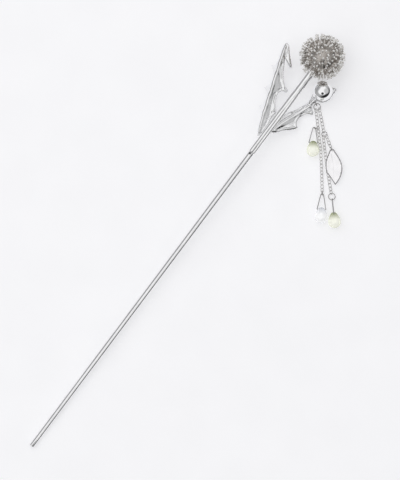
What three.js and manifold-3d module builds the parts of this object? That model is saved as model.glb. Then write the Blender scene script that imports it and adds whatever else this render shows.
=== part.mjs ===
// A dandelion hair stick: a round steel stick, a cast stem with two toothed leaves and a spiky seed head,
// and a cluster of fine chains that carry three glass drops and a metal leaf plate.
// Millimetres. It lies on the plane Z = 0 with +X along the stick, from the tip to the seed head, and
// +Y towards the left leaf. The origin is the middle of the box around it, on that plane.
import * as THREE from "three";
import { mergeVertices } from "three/addons/utils/BufferGeometryUtils.js";
import Module from "manifold-3d";

const wasm = await Module();
wasm.setup();

// ---------------------------------------------------------------- driving dimensions

// The origin, measured from the middle of the tip's end.
const ORIGIN_X = 90;
const ORIGIN_Y = -14;

// The stick and stem share one axis, which climbs and bears a little right from the tip to the head.
const TIP_RADIUS = 0.95;
const TIP_Y = 0.1;
const TILT = THREE.MathUtils.degToRad(2.52);
const YAW = THREE.MathUtils.degToRad(-0.26);
const STICK_LENGTH = 129.8;
const STICK_TOP_RADIUS = 1.12;
const TIP_EASE = 0.15;
const STEM_START = 130.1;
const STEM_END = 167.4;

const HEAD_CENTRE = new THREE.Vector3(171.4, -0.5, 8.5);
const HEAD_RADIUS = 8.5;
const HEAD_CORE_RADIUS = 5.6;
const HEAD_PRONGS = 112;
const PRONG_SIDES = 4;
const PRONG_TIP_RADIUS = 0.5;
const PRONG_FOOT_RADIUS = 0.36;
const SOCKET_RADIUS = 1.65;
const STEM_CLEAR_ANGLE = THREE.MathUtils.degToRad(23);

const BEAD_CENTRE = new THREE.Vector3(162.1, -7.6, 5.35);
const BEAD_RADIUS = 3.7;

const BLADE_THICKNESS = 0.8;
const RIB_RADIUS = 0.5;
const SEAT_GAP = 0.3;

// The dangles have a frame of their own: its x runs down the strands, its y to their right.
const EYELET_X = 158;
const EYELET_Y = -7.5;
const EYELET_RADIUS = 0.42;
const STRAND_HEADING = THREE.MathUtils.degToRad(-143.4);
const RING_HEADING_DEG = 21.8;

const LINK_LENGTH = 1.82;
const LINK_CORNER = 0.34;
const LINK_HOLE_CORNER = 0.1;
const LINK_WIDTH = 1.25;
const LINK_WIRE = 0.3;
const LINK_PITCH = 1.25;
const CHAIN_Z = 0.66;
// A strand's first link hooks this far behind the wire that it turns on.
const HOOK_BACK = 0.42;

const RING_WIRE_RADIUS = 0.15;
const RING_HOOK_BACK = 0.5;
const HOOK_GAP = 0.1;
const TABLE_GAP = 0.03;
const BAIL_WIRE_RADIUS = 0.14;
const BAIL_LENGTH = 5.3;
const BAIL_END = 0.7;
const BAIL_HALF_WIDTH = 1.55;
const DROP_HOLE_RADIUS = 0.28;
const DROP_HOLE_FROM_TOP = 0.75;
const DROP_LENGTH = 5.7;

const LEAF_RING_RADIUS = 1;
const STRAND_RING_RADIUS = 1.18;
const STRAND_RING_X = 1.24;
const STRAND_RING_Z = 1.1;
const STRAND_A_AROUND = -22;
const STRAND_B_AROUND = 42;
const STRAND_RISE = 0.05;
const DROP_RING_RADIUS = 0.8;
const SPLIT_RING_RADIUS = 0.95;
const PLATE_RING_RADIUS = 0.75;
const SIDE_RING_HALF_WIDTH = 0.7;
const SIDE_RING_HALF_HEIGHT = 0.5;
const SIDE_RING_BEFORE_END = 0.81;
const DROP_CLIMB = 11.6;

// Strand A's runs of chain and their headings in degrees.
const STRAND_A = [["chain_a1", 7], ["chain_a2", 6.5], ["chain_a3", 2.5], ["chain_a4", 1.5]];
const STRAND_A_LINKS = 6;
const CHAIN_B1_HEADING = 11.5;

const BRANCH_HEADING = 20;
const BRANCH_CLIMB = 11.5;
const PLATE_Z = 1.63;

// ---------------------------------------------------------------- materials

function metal(color, roughness) {
  return new THREE.MeshStandardMaterial({ color, roughness, metalness: 1 });
}

function glass(color) {
  return new THREE.MeshStandardMaterial({ color, roughness: 0.05, metalness: 0 });
}

const STEEL = 0xd8d8da;
const CAST = 0xdcdcde;
const HEAD = 0xb4aea6;
const FINE = 0xcfcfcd;
const GREEN = 0xe4efb4;
const CLEAR = 0xf4f6f8;

// ---------------------------------------------------------------- shape helpers

// A closed geometry as a solid that can be joined and cut.
function solid(geometry) {
  const bare = geometry.clone();
  bare.deleteAttribute("normal");
  bare.deleteAttribute("uv");
  const merged = mergeVertices(bare, 1e-5);
  const mesh = new wasm.Mesh({
    numProp: 3,
    vertProperties: new Float32Array(merged.attributes.position.array),
    triVerts: new Uint32Array(merged.index.array),
  });
  return new wasm.Manifold(mesh);
}

function geometryOf(body) {
  const mesh = body.getMesh();
  const geometry = new THREE.BufferGeometry();
  geometry.setAttribute("position", new THREE.BufferAttribute(mesh.vertProperties, 3));
  geometry.setIndex(new THREE.BufferAttribute(mesh.triVerts, 1));
  geometry.computeVertexNormals();
  return geometry;
}

function addNode(parent, name, geometry, material) {
  const mesh = new THREE.Mesh(geometry, material);
  mesh.name = name;
  parent.add(mesh);
  return mesh;
}

function circle(radius, sides, x = 0, y = 0) {
  const corners = [];
  for (let i = 0; i < sides; i += 1) {
    const a = (2 * Math.PI * i) / sides;
    corners.push(new THREE.Vector2(x + radius * Math.cos(a), y + radius * Math.sin(a)));
  }
  return corners;
}

// A round wire along a smooth path through some points.
function wire(points, radius, steps, sides = 6) {
  const path = new THREE.CatmullRomCurve3(points, false, "centripetal");
  const section = new THREE.Shape(circle(radius, sides));
  return new THREE.ExtrudeGeometry(section, { steps, extrudePath: path });
}

// A solid of revolution about X, from a list of [x, radius] that starts and ends on the axis.
function turned(profile, sides) {
  const points = profile.map(([x, r]) => new THREE.Vector2(r, x));
  return new THREE.LatheGeometry(points, sides).rotateZ(-Math.PI / 2);
}

// A ring in the local XY plane.
function ring(meanRadius) {
  return new THREE.TorusGeometry(meanRadius, RING_WIRE_RADIUS, 6, 16);
}

// ---------------------------------------------------------------- stick and stem

function stickProfile() {
  return [
    [0, 0],
    [0, TIP_RADIUS - TIP_EASE],
    [TIP_EASE, TIP_RADIUS],
    [STICK_LENGTH - 0.5, STICK_TOP_RADIUS],
    [STICK_LENGTH - 0.1, STICK_TOP_RADIUS - 0.3],
    [STICK_LENGTH, 0],
  ];
}

// The cast stem butts on the stick's end and swells a little towards the seed head.
function stemProfile() {
  const length = STEM_END - STEM_START;
  return [[0, 0], [0, 1.0], [0.25, 1.15], [7, 1.24], [25, 1.3], [length, 1.35], [length, 0]];
}

// ---------------------------------------------------------------- leaves

// Bends a flat blade: every point is raised by the height of the leaf's middle surface there.
function draped(geometry, heightAt) {
  const p = geometry.attributes.position;
  for (let i = 0; i < p.count; i += 1) {
    p.setZ(i, p.getZ(i) + heightAt(p.getX(i), p.getY(i)));
  }
  return geometry;
}

function blade(outline, heightAt, holes = []) {
  const shape = new THREE.Shape(outline.map(([x, y]) => new THREE.Vector2(x, y)));
  for (const [x, y, radius] of holes) {
    shape.holes.push(new THREE.Path(circle(radius, 10, x, y)));
  }
  const flat = new THREE.ExtrudeGeometry(shape, {
    depth: BLADE_THICKNESS,
    bevelEnabled: false,
    curveSegments: 8,
  });
  flat.translate(0, 0, -BLADE_THICKNESS / 2);
  return draped(flat, heightAt);
}

function rib(points, heightAt, steps) {
  const path = points.map(([x, y]) => new THREE.Vector3(x, y, heightAt(x, y) + 0.25));
  return wire(path, RIB_RADIUS, steps, 6);
}

// The left leaf is a roof: it falls gently from its fold to the stem, and steeply on the outer side.
const LEFT_FOLD_START = [136, 1.9];
const LEFT_FOLD_END = [168, 13.1];
const LEFT_BASE_Z = 5.6;
const LEFT_TIP_Z = 7.4;
const LEFT_ARCH = 0.6;
const LEFT_INNER_SLOPE = 0.3;
const LEFT_OUTER_SLOPE = 2.2;

function leftHeight(x, y) {
  const [x0, y0] = LEFT_FOLD_START;
  const [x1, y1] = LEFT_FOLD_END;
  const length = Math.hypot(x1 - x0, y1 - y0);
  const part = ((x - x0) * (x1 - x0) + (y - y0) * (y1 - y0)) / length ** 2;
  const across = ((x1 - x0) * (y - y0) - (y1 - y0) * (x - x0)) / length;
  const ridge = LEFT_BASE_Z + (LEFT_TIP_Z - LEFT_BASE_Z) * part;
  const arch = LEFT_ARCH * Math.sin(Math.PI * THREE.MathUtils.clamp(part, 0, 1));
  const slope = across > 0 ? -LEFT_OUTER_SLOPE : LEFT_INNER_SLOPE;
  return ridge + arch + slope * across;
}

const LEFT_OUTLINE = [
  [137.2, 0.3], [135.6, 1.3], [138.3, 2.9], [143.6, 5.4], [144.6, 7.4], [146.9, 6.6],
  [149.9, 7.7], [151.0, 9.6], [153.4, 8.9], [156.8, 10.1], [158.6, 12.2], [160.2, 11.2],
  [164.6, 12.4], [167.2, 12.9], [168.1, 12.5], [167.9, 11.3], [165.7, 9.3], [163.7, 7.2],
  [162.4, 6.0], [161.7, 6.2], [162.1, 7.6], [163.2, 9.6], [161.0, 8.3], [158.0, 6.4], [155.8, 3.8],
  [154.8, 1.9], [154.0, 2.2], [153.4, 3.6], [152.1, 4.2], [150.3, 3.7], [148.0, 2.4],
  [146.2, 0.8], [144.1, 1.0], [141.5, 0.6],
];
const LEFT_RIB = [[138.6, 2.5], [143.3, 4.2], [149.3, 6.2], [155.1, 8.2], [161.5, 10.4], [166.8, 12.1]];

// Height of the right leaf: it falls from the stem to the table, and its end cups the bead.
const RIGHT_BASE = [139.6, -1.8];
const RIGHT_TIP = [166.1, -11.8];
const RIGHT_BASE_Z = 5.15;
const RIGHT_TIP_Z = 0.42;
const CUP_FROM = 2.5;
const CUP_TO = 5;
const CUP_SLOPE = 0.16;

function rightHeight(x, y) {
  const [x0, y0] = RIGHT_BASE;
  const [x1, y1] = RIGHT_TIP;
  const along = (x - x0) * (x1 - x0) + (y - y0) * (y1 - y0);
  const part = THREE.MathUtils.clamp(along / ((x1 - x0) ** 2 + (y1 - y0) ** 2), 0, 1);
  const fall = (RIGHT_BASE_Z - RIGHT_TIP_Z) * Math.sin((part * Math.PI) / 2);
  const fromBead = Math.hypot(x - BEAD_CENTRE.x, y - BEAD_CENTRE.y);
  const cup = fromBead < CUP_TO ? CUP_SLOPE * Math.max(fromBead - CUP_FROM, 0) : 0;
  return RIGHT_BASE_Z - fall + cup;
}

const RIGHT_OUTLINE = [
  [138.2, -0.5], [143.0, -0.6], [145.5, -1.0], [147.4, -1.7], [149.7, -2.9], [151.6, -4.1],
  [153.1, -4.8], [154.6, -5.4], [156.5, -6.0], [158.5, -5.6], [160.7, -5.0], [163.3, -5.2],
  [165.2, -7.0], [165.5, -9.4], [166.2, -11.3], [165.7, -11.6], [163.9, -11.5], [161.5, -11.6],
  [159.9, -10.9], [158.8, -9.9], [158.45, -8.4], [157.6, -8.25], [157.0, -7.9], [155.9, -8.0],
  [155.0, -8.6], [154.3, -9.6], [153.6, -10.0], [153.1, -9.5], [152.3, -8.0], [150.6, -7.1],
  [149.2, -6.9], [147.8, -7.2], [146.6, -8.4], [145.9, -8.2], [144.4, -6.9], [142.4, -4.8],
  [139.6, -2.5],
];
const RIGHT_RIB = [[140.4, -1.9], [144.7, -2.9], [148.0, -4.2], [151.7, -5.8], [153.9, -6.7]];

function leftLeafGeometry() {
  const body = solid(blade(LEFT_OUTLINE, leftHeight)).add(solid(rib(LEFT_RIB, leftHeight, 12)));
  return geometryOf(body);
}

function rightLeafGeometry() {
  const eyelet = [EYELET_X, EYELET_Y, EYELET_RADIUS];
  const body = solid(blade(RIGHT_OUTLINE, rightHeight, [eyelet]));
  return geometryOf(body.add(solid(rib(RIGHT_RIB, rightHeight, 10))));
}

// ---------------------------------------------------------------- seed head

// Directions spread evenly over a sphere.
function spreadDirections(count) {
  const golden = Math.PI * (3 - Math.sqrt(5));
  const found = [];
  for (let i = 0; i < count; i += 1) {
    const z = 1 - (2 * i + 1) / count;
    const flat = Math.sqrt(1 - z * z);
    found.push(new THREE.Vector3(flat * Math.cos(golden * i), flat * Math.sin(golden * i), z));
  }
  return found;
}

function prong(direction) {
  const length = HEAD_RADIUS - HEAD_CORE_RADIUS + 0.4;
  const shape = new THREE.CylinderGeometry(PRONG_TIP_RADIUS, PRONG_FOOT_RADIUS, length, PRONG_SIDES);
  shape.translate(0, HEAD_RADIUS - length / 2, 0);
  shape.applyQuaternion(new THREE.Quaternion().setFromUnitVectors(new THREE.Vector3(0, 1, 0), direction));
  return solid(shape);
}

// A prong is left out where the bead or the stem is in its way.
function prongIsClear(direction, beadAt, stemAt) {
  const outer = direction.clone().multiplyScalar(HEAD_RADIUS);
  const span = new THREE.Line3(new THREE.Vector3(), outer);
  const nearest = span.closestPointToPoint(beadAt, true, new THREE.Vector3());
  const clearsBead = nearest.distanceTo(beadAt) > BEAD_RADIUS + SEAT_GAP + PRONG_TIP_RADIUS;
  return clearsBead && direction.angleTo(stemAt) > STEM_CLEAR_ANGLE;
}

// The stem's end sits in a socket in the core.
function headGeometry(stemAt) {
  const beadAt = BEAD_CENTRE.clone().sub(HEAD_CENTRE);
  const clear = spreadDirections(HEAD_PRONGS).filter((way) => prongIsClear(way, beadAt, stemAt));
  const core = solid(new THREE.IcosahedronGeometry(HEAD_CORE_RADIUS, 2));
  const head = wasm.Manifold.union([core, ...clear.map(prong)]);
  const socket = new THREE.CylinderGeometry(SOCKET_RADIUS, SOCKET_RADIUS, 8, 14).rotateZ(Math.PI / 2);
  socket.translate(-4 + SEAT_GAP, 0, 0).rotateY(-TILT).rotateZ(YAW).translate(...stemAt.toArray());
  return geometryOf(head.subtract(solid(socket)));
}

// ---------------------------------------------------------------- chains and rings

// The corners of a rectangle with its corners cut off.
function octagon(halfLength, halfWidth, corner) {
  const quarter = [[halfLength, halfWidth - corner], [halfLength - corner, halfWidth]];
  const half = [...quarter, ...quarter.toReversed().map(([x, y]) => [-x, y])];
  const whole = [...half, ...half.map(([x, y]) => [-x, -y])];
  return whole.map(([x, y]) => new THREE.Vector2(x, y));
}

// A link is a long flat ring about the local XY plane, its length along x.
function linkGeometry() {
  const shape = new THREE.Shape(octagon(LINK_LENGTH / 2, LINK_WIDTH / 2, LINK_CORNER));
  const innerLength = LINK_LENGTH / 2 - LINK_WIRE;
  const innerWidth = LINK_WIDTH / 2 - LINK_WIRE;
  shape.holes.push(new THREE.Path(octagon(innerLength, innerWidth, LINK_HOLE_CORNER)));
  const link = new THREE.ExtrudeGeometry(shape, { depth: LINK_WIRE, bevelEnabled: false });
  return link.translate(0, 0, -LINK_WIRE / 2);
}

// A run of links, each turned a quarter from the last. Its first link hooks the wire at the origin.
function chainGeometry(count, upright) {
  const links = [];
  for (let i = 0; i < count; i += 1) {
    const link = linkGeometry();
    if ((i % 2 === 0) === upright) {
      link.rotateX(Math.PI / 2);
    }
    link.translate(LINK_LENGTH / 2 - LINK_WIRE / 2 - HOOK_BACK + LINK_PITCH * i, 0, 0);
    links.push(solid(link));
  }
  return geometryOf(wasm.Manifold.union(links));
}

function chainReach(count) {
  return LINK_PITCH * count + LINK_LENGTH - LINK_WIRE - LINK_PITCH - HOOK_BACK;
}

// A point some way from another, at a heading and a climb in degrees.
function ahead(from, distance, headingDeg, climbDeg = 0) {
  const heading = THREE.MathUtils.degToRad(headingDeg);
  const climb = THREE.MathUtils.degToRad(climbDeg);
  const away = new THREE.Vector3(Math.cos(heading), Math.sin(heading), 0).multiplyScalar(Math.cos(climb));
  away.z = Math.sin(climb);
  return from.clone().addScaledVector(away, distance);
}

function aim(object, at, headingDeg, climbDeg = 0, rollDeg = 0) {
  object.position.copy(at);
  object.rotation.order = "ZYX";
  object.rotation.z = THREE.MathUtils.degToRad(headingDeg);
  object.rotation.y = -THREE.MathUtils.degToRad(climbDeg);
  object.rotation.x = THREE.MathUtils.degToRad(rollDeg);
}

// A run of chain from a start, and where the next piece hooks on to it.
function addChain(parent, name, start, headingDeg, count, upright, climbDeg = 0) {
  const mesh = addNode(parent, name, chainGeometry(count, upright), metal(FINE, 0.22));
  aim(mesh, start, headingDeg, climbDeg);
  return ahead(start, chainReach(count), headingDeg, climbDeg);
}

// A ring on edge. It stands clear of the table, so what hooks on to it does so below its middle.
function addUprightRing(parent, name, hook, headingDeg, meanRadius) {
  const centreZ = Math.max(hook.z, meanRadius + RING_WIRE_RADIUS + TABLE_GAP);
  const barHalf = LINK_WIRE / 2;
  const room = Math.sqrt((meanRadius - RING_WIRE_RADIUS) ** 2 - (centreZ - hook.z + barHalf) ** 2);
  const middle = ahead(hook, room - HOOK_GAP - barHalf, headingDeg);
  const mesh = addNode(parent, name, ring(meanRadius).rotateX(Math.PI / 2), metal(FINE, 0.18));
  aim(mesh, middle.clone().setZ(centreZ), headingDeg);
  return ahead(middle, room - HOOK_GAP - barHalf + HOOK_BACK, headingDeg);
}

// A ring lying flat, hooked at its near side.
function addFlatRing(parent, name, hook, headingDeg, meanRadius) {
  const mesh = addNode(parent, name, ring(meanRadius), metal(FINE, 0.18));
  const middle = ahead(hook, meanRadius - HOOK_BACK, headingDeg);
  aim(mesh, middle, headingDeg);
  return middle;
}

// Where a run of chain starts when it hooks a ring's far side at an angle to the ring's own heading.
function startOnRing(middle, meanRadius, aroundDeg, headingDeg) {
  const back = RING_HOOK_BACK / Math.cos(THREE.MathUtils.degToRad(aroundDeg - headingDeg));
  return ahead(ahead(middle, meanRadius, aroundDeg), HOOK_BACK - back, headingDeg);
}

// ---------------------------------------------------------------- drops

// A wire triangle whose tip hooks a ring at the origin and whose ends sit in the drop's hole.
function bailGeometry() {
  const right = [
    [-0.43, 0], [-0.25, 0.36], [0.3, 0.56], [BAIL_LENGTH - 0.7, BAIL_HALF_WIDTH - 0.14],
    [BAIL_LENGTH - 0.12, BAIL_HALF_WIDTH], [BAIL_LENGTH, BAIL_HALF_WIDTH - 0.4],
    [BAIL_LENGTH, BAIL_END],
  ];
  const left = right.slice(1).reverse().map(([x, y]) => [x, -y]);
  const points = [...left, ...right].map(([x, y]) => new THREE.Vector3(x, y, 0));
  return wire(points, BAIL_WIRE_RADIUS, 34, 6);
}

function dropGeometry() {
  const outline = [
    [0, 0], [0.06, 0.55], [0.32, 0.98], [0.9, 1.32], [1.9, 1.86], [3.3, 2.22],
    [4.5, 1.98], [5.3, 1.3], [5.6, 0.65], [DROP_LENGTH, 0],
  ];
  const glassBody = solid(turned(outline, 16));
  const hole = new THREE.CylinderGeometry(DROP_HOLE_RADIUS, DROP_HOLE_RADIUS, 6, 8);
  hole.translate(DROP_HOLE_FROM_TOP, 0, 0);
  return geometryOf(glassBody.subtract(solid(hole)).translate(BAIL_LENGTH - DROP_HOLE_FROM_TOP, 0, 0));
}

function addDrop(parent, number, hook, headingDeg, climbDeg, rollDeg, color) {
  const group = new THREE.Group();
  aim(group, hook, headingDeg, climbDeg, rollDeg);
  parent.add(group);
  addNode(group, `bail_${number}`, bailGeometry(), metal(FINE, 0.18));
  addNode(group, `glass_drop_${number}`, dropGeometry(), glass(color));
}

// ---------------------------------------------------------------- leaf plate

const PLATE_THICKNESS = 0.35;
const PLATE_HOLE_RADIUS = 0.42;

// The plate's outline, with its hanging hole at the origin and its tip away from it.
function plateGeometry() {
  const shape = new THREE.Shape();
  shape.moveTo(-0.75, -0.1);
  shape.quadraticCurveTo(-0.7, 0.5, 0.3, 1.0);
  shape.bezierCurveTo(2.2, 2.3, 4.2, 3.7, 6.6, 3.5);
  shape.bezierCurveTo(8.6, 3.3, 10.3, 2.6, 11.9, 1.1);
  shape.bezierCurveTo(10.4, 0.2, 9.0, -0.7, 7.8, -1.7);
  shape.bezierCurveTo(5.6, -2.5, 3.2, -2.3, 1.2, -1.2);
  shape.quadraticCurveTo(-0.3, -0.9, -0.75, -0.1);
  shape.holes.push(new THREE.Path(circle(PLATE_HOLE_RADIUS, 10)));
  const plate = new THREE.ExtrudeGeometry(shape, {
    depth: PLATE_THICKNESS,
    bevelEnabled: false,
    curveSegments: 6,
  });
  return plate.translate(0, 0, -PLATE_THICKNESS / 2);
}

// ---------------------------------------------------------------- assembly

const pin = new THREE.Group();
pin.position.set(-ORIGIN_X, -ORIGIN_Y, 0);

const axis = new THREE.Group();
axis.position.set(0, TIP_Y, TIP_RADIUS);
axis.rotation.order = "ZYX";
axis.rotation.y = -TILT;
axis.rotation.z = YAW;
pin.add(axis);
addNode(axis, "pin_shaft", turned(stickProfile(), 20), metal(STEEL, 0.16));
const stem = turned(stemProfile(), 20).translate(STEM_START, 0, 0);
addNode(axis, "flower_stem", stem, metal(CAST, 0.14));

addNode(pin, "leaf_left", leftLeafGeometry(), metal(CAST, 0.16));
addNode(pin, "leaf_right", rightLeafGeometry(), metal(CAST, 0.16));

axis.updateMatrix();
const stemEnd = new THREE.Vector3(STEM_END, 0, 0).applyMatrix4(axis.matrix).sub(HEAD_CENTRE);
addNode(pin, "seed_head", headGeometry(stemEnd), metal(HEAD, 0.35)).position.copy(HEAD_CENTRE);
const bead = new THREE.SphereGeometry(BEAD_RADIUS, 20, 14).rotateX(Math.PI / 2);
addNode(pin, "dew_bead", bead, metal(STEEL, 0.05)).position.copy(BEAD_CENTRE);

const dangles = new THREE.Group();
dangles.position.set(EYELET_X, EYELET_Y, 0);
dangles.rotation.z = STRAND_HEADING;
pin.add(dangles);

// The leaf ring stands in the eyelet, and the strand ring slopes from it to the table.
const rings = new THREE.Group();
rings.rotation.z = THREE.MathUtils.degToRad(RING_HEADING_DEG);
dangles.add(rings);
const leafRingShape = ring(LEAF_RING_RADIUS).rotateX(Math.PI / 2);
const leafRing = addNode(rings, "leaf_ring", leafRingShape, metal(FINE, 0.18));
leafRing.position.set(LEAF_RING_RADIUS, 0, rightHeight(EYELET_X, EYELET_Y));

const strandSlope = Math.asin((STRAND_RING_Z - CHAIN_Z) / (2 * STRAND_RING_RADIUS));
const strandRing = ring(STRAND_RING_RADIUS).translate(STRAND_RING_RADIUS, 0, 0).rotateY(strandSlope);
addNode(rings, "strand_ring", strandRing, metal(FINE, 0.18)).position.set(STRAND_RING_X, 0, STRAND_RING_Z);
const strandMiddle = ahead(
  new THREE.Vector3(0, 0, CHAIN_Z + STRAND_RISE),
  STRAND_RING_X + STRAND_RING_RADIUS,
  RING_HEADING_DEG,
);

// Strand A, the left one: four runs of chain to the clear drop, with a green drop part way down.
const hooksA = [startOnRing(strandMiddle, STRAND_RING_RADIUS, STRAND_A_AROUND, STRAND_A[0][1])];
for (const [name, heading] of STRAND_A) {
  hooksA.push(addChain(dangles, name, hooksA.at(-1), heading, STRAND_A_LINKS, true));
}
const clearHook = addUprightRing(dangles, "drop_ring_2", hooksA.at(-1), 0, DROP_RING_RADIUS);
addDrop(dangles, 2, clearHook, -3.5, DROP_CLIMB, 0, CLEAR);

// The side ring is an oval that stands across the last link of the first run.
const sideHeading = STRAND_A[0][1];
const sideAt = ahead(hooksA[0], chainReach(STRAND_A_LINKS) - SIDE_RING_BEFORE_END, sideHeading);
const sideRing = ring(1).scale(SIDE_RING_HALF_WIDTH, SIDE_RING_HALF_HEIGHT, 1).rotateX(Math.PI / 2);
const sideMiddle = ahead(sideAt, SIDE_RING_HALF_WIDTH, sideHeading - 90);
aim(addNode(dangles, "drop_ring_1", sideRing, metal(FINE, 0.18)), sideMiddle, sideHeading - 90);
addDrop(dangles, 1, ahead(sideAt, 2 * SIDE_RING_HALF_WIDTH, sideHeading - 90), -4, DROP_CLIMB, 0, GREEN);

// Strand B, the right one: to a split ring, then on under the leaf plate to the second green drop.
const startB = startOnRing(strandMiddle, STRAND_RING_RADIUS, STRAND_B_AROUND, CHAIN_B1_HEADING);
const splitHook = addChain(dangles, "chain_b1", startB, CHAIN_B1_HEADING, 7, true);
const splitMiddle = addFlatRing(dangles, "split_ring", splitHook, CHAIN_B1_HEADING, SPLIT_RING_RADIUS);
const startB2 = startOnRing(splitMiddle, SPLIT_RING_RADIUS, -24, 6);
const middleHook = addChain(dangles, "chain_b2", startB2, 6, 4, true);
const lowerHook = addChain(dangles, "chain_b3", middleHook, 8, 9, true);
const thirdRingHook = addChain(dangles, "chain_b4", lowerHook, 10, 4, false);
const thirdMiddle = addFlatRing(dangles, "drop_ring_3", thirdRingHook, 10, STRAND_RING_RADIUS);
addDrop(dangles, 3, ahead(thirdMiddle, STRAND_RING_RADIUS, 8), 5, DROP_CLIMB, 90, GREEN);

// The plate hangs from a short chain on the split ring and lies over strand B.
const branchStart = startOnRing(splitMiddle, SPLIT_RING_RADIUS, 50, BRANCH_HEADING);
const plateRingHook = addChain(dangles, "chain_c", branchStart, BRANCH_HEADING, 4, true, BRANCH_CLIMB);
const plateHook = addUprightRing(dangles, "plate_ring", plateRingHook, BRANCH_HEADING, PLATE_RING_RADIUS);
const plate = addNode(dangles, "leaf_plate", plateGeometry(), metal(STEEL, 0.08));
aim(plate, plateHook.clone().setZ(PLATE_Z), 0);

export default pin;
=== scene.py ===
import bpy
import math
import random
import numpy as np
from mathutils import Matrix, Vector, geometry


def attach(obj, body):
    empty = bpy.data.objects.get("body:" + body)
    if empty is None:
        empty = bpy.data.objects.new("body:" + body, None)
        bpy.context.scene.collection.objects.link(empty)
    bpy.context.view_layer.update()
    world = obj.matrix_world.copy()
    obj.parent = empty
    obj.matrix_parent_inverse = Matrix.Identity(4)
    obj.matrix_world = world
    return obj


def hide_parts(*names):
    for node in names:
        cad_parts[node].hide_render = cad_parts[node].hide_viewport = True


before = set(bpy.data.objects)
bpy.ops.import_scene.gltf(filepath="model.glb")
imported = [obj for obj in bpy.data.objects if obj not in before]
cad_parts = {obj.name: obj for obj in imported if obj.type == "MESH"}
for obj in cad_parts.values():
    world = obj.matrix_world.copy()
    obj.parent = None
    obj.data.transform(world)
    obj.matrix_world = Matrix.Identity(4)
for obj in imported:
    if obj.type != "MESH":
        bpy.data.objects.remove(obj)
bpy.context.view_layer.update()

# ---------------------------------------------------------------- dimensions, in millimetres
# The design frame has its origin at the middle of the tip's end; TO_FRAME turns it into the row frame.

ORIGIN = (90.0, -14.0)
TO_FRAME = Matrix.Scale(0.001, 4) @ Matrix.Translation((-ORIGIN[0], -ORIGIN[1], 0.0))

TIP_RADIUS = 0.95
TIP_Y = 0.1
TILT = math.radians(2.52)
YAW = math.radians(-0.26)
STICK_LENGTH = 129.8
STICK_TOP_RADIUS = 1.12
PIT_BEFORE_END = 0.5
PIT_LEFT = 0.3
PIT_RADIUS = 0.42
STEM_START = 129.82
STEM_END = 167.4

HEAD_CENTRE = Vector((171.4, -0.5, 8.5))
HEAD_RADIUS = 8.5
CORE_RADIUS = 6.1
PRONGS = 400
PRONG_ROOT = 5.2
PRONG_REACH = (0.93, 1.0)
PRONG_LEAN = 0.085
PRONG_BEAD_GAP = 0.6
PRONG_STEM_ANGLE = 14
BEAD_CENTRE = Vector((162.1, -7.6, 5.35))
BEAD_RADIUS = 3.7

EYELET = (158.0, -7.5)
STRAND_HEADING = -143.4
RING_HEADING = 21.8
LINK_LENGTH = 1.82
LINK_WIDTH = 1.5
LINK_WIRE = 0.3
LINK_PITCH = 1.25
CHAIN_Z = 0.66
HOOK_BACK = 0.42
RING_WIRE = 0.15
RING_HOOK_BACK = 0.5
HOOK_GAP = 0.1
TABLE_GAP = 0.03
BAIL_WIRE = 0.16
BAIL_LENGTH = 5.3
BAIL_HALF_WIDTH = 1.55
DROP_HOLE_RADIUS = 0.28
DROP_HOLE_FROM_TOP = 0.75
DROP_LENGTH = 5.7
LEAF_RING_RADIUS = 1.0
STRAND_RING_RADIUS = 1.18
STRAND_RING_X = 1.24
STRAND_RING_Z = 1.1
STRAND_RISE = 0.05
DROP_RING_RADIUS = 0.8
SPLIT_RING_RADIUS = 0.95
PLATE_RING_RADIUS = 0.75
SIDE_RING = (0.7, 0.5)
SIDE_RING_BEFORE_END = 0.81
DROP_CLIMB = 11.6
PLATE_Z = 1.63
PLATE_RIM_WIRE = 0.12
BLADE_SPACING = 0.24
BLADE_HALF_THICKNESS = 0.38
BLADE_EDGE = 0.7
BLADE_ROLL = 0.16


def turn(degrees, axis):
    return Matrix.Rotation(math.radians(degrees), 4, axis)


def shift(x, y=0.0, z=0.0):
    return Matrix.Translation((x, y, z))


# ---------------------------------------------------------------- materials

# Painted light: the glass drops glow in their own colour, though they are no lamp.
GLASS_GLOW = 0.13
FLOOR_GLOW = 0.45


def link(tree, a, b):
    tree.links.new(a, b)


def start_material(name):
    m = bpy.data.materials.new(name)
    m.use_nodes = True
    tree = m.node_tree
    shader = tree.nodes["Principled BSDF"]
    coords = tree.nodes.new("ShaderNodeTexCoord").outputs["Object"]
    return m, tree, shader, coords


def noise(tree, coords, scale, detail=3.0, stretch=None, distortion=0.0):
    if stretch:
        mapping = tree.nodes.new("ShaderNodeMapping")
        mapping.inputs["Scale"].default_value = stretch
        link(tree, coords, mapping.inputs["Vector"])
        coords = mapping.outputs["Vector"]
    n = tree.nodes.new("ShaderNodeTexNoise")
    n.inputs["Scale"].default_value = scale
    n.inputs["Detail"].default_value = detail
    n.inputs["Distortion"].default_value = distortion
    link(tree, coords, n.inputs["Vector"])
    return n.outputs["Fac"]


def ramp(tree, fac, low, high, low_at=0.35, high_at=0.65):
    r = tree.nodes.new("ShaderNodeValToRGB")
    r.color_ramp.elements[0].position = low_at
    r.color_ramp.elements[0].color = (*low, 1.0)
    r.color_ramp.elements[1].position = high_at
    r.color_ramp.elements[1].color = (*high, 1.0)
    link(tree, fac, r.inputs["Fac"])
    return r.outputs["Color"]


def spread(tree, value, low, high):
    n = tree.nodes.new("ShaderNodeMapRange")
    n.inputs["From Min"].default_value = 0.3
    n.inputs["From Max"].default_value = 0.7
    n.inputs["To Min"].default_value = low
    n.inputs["To Max"].default_value = high
    link(tree, value, n.inputs["Value"])
    return n.outputs["Result"]


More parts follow.
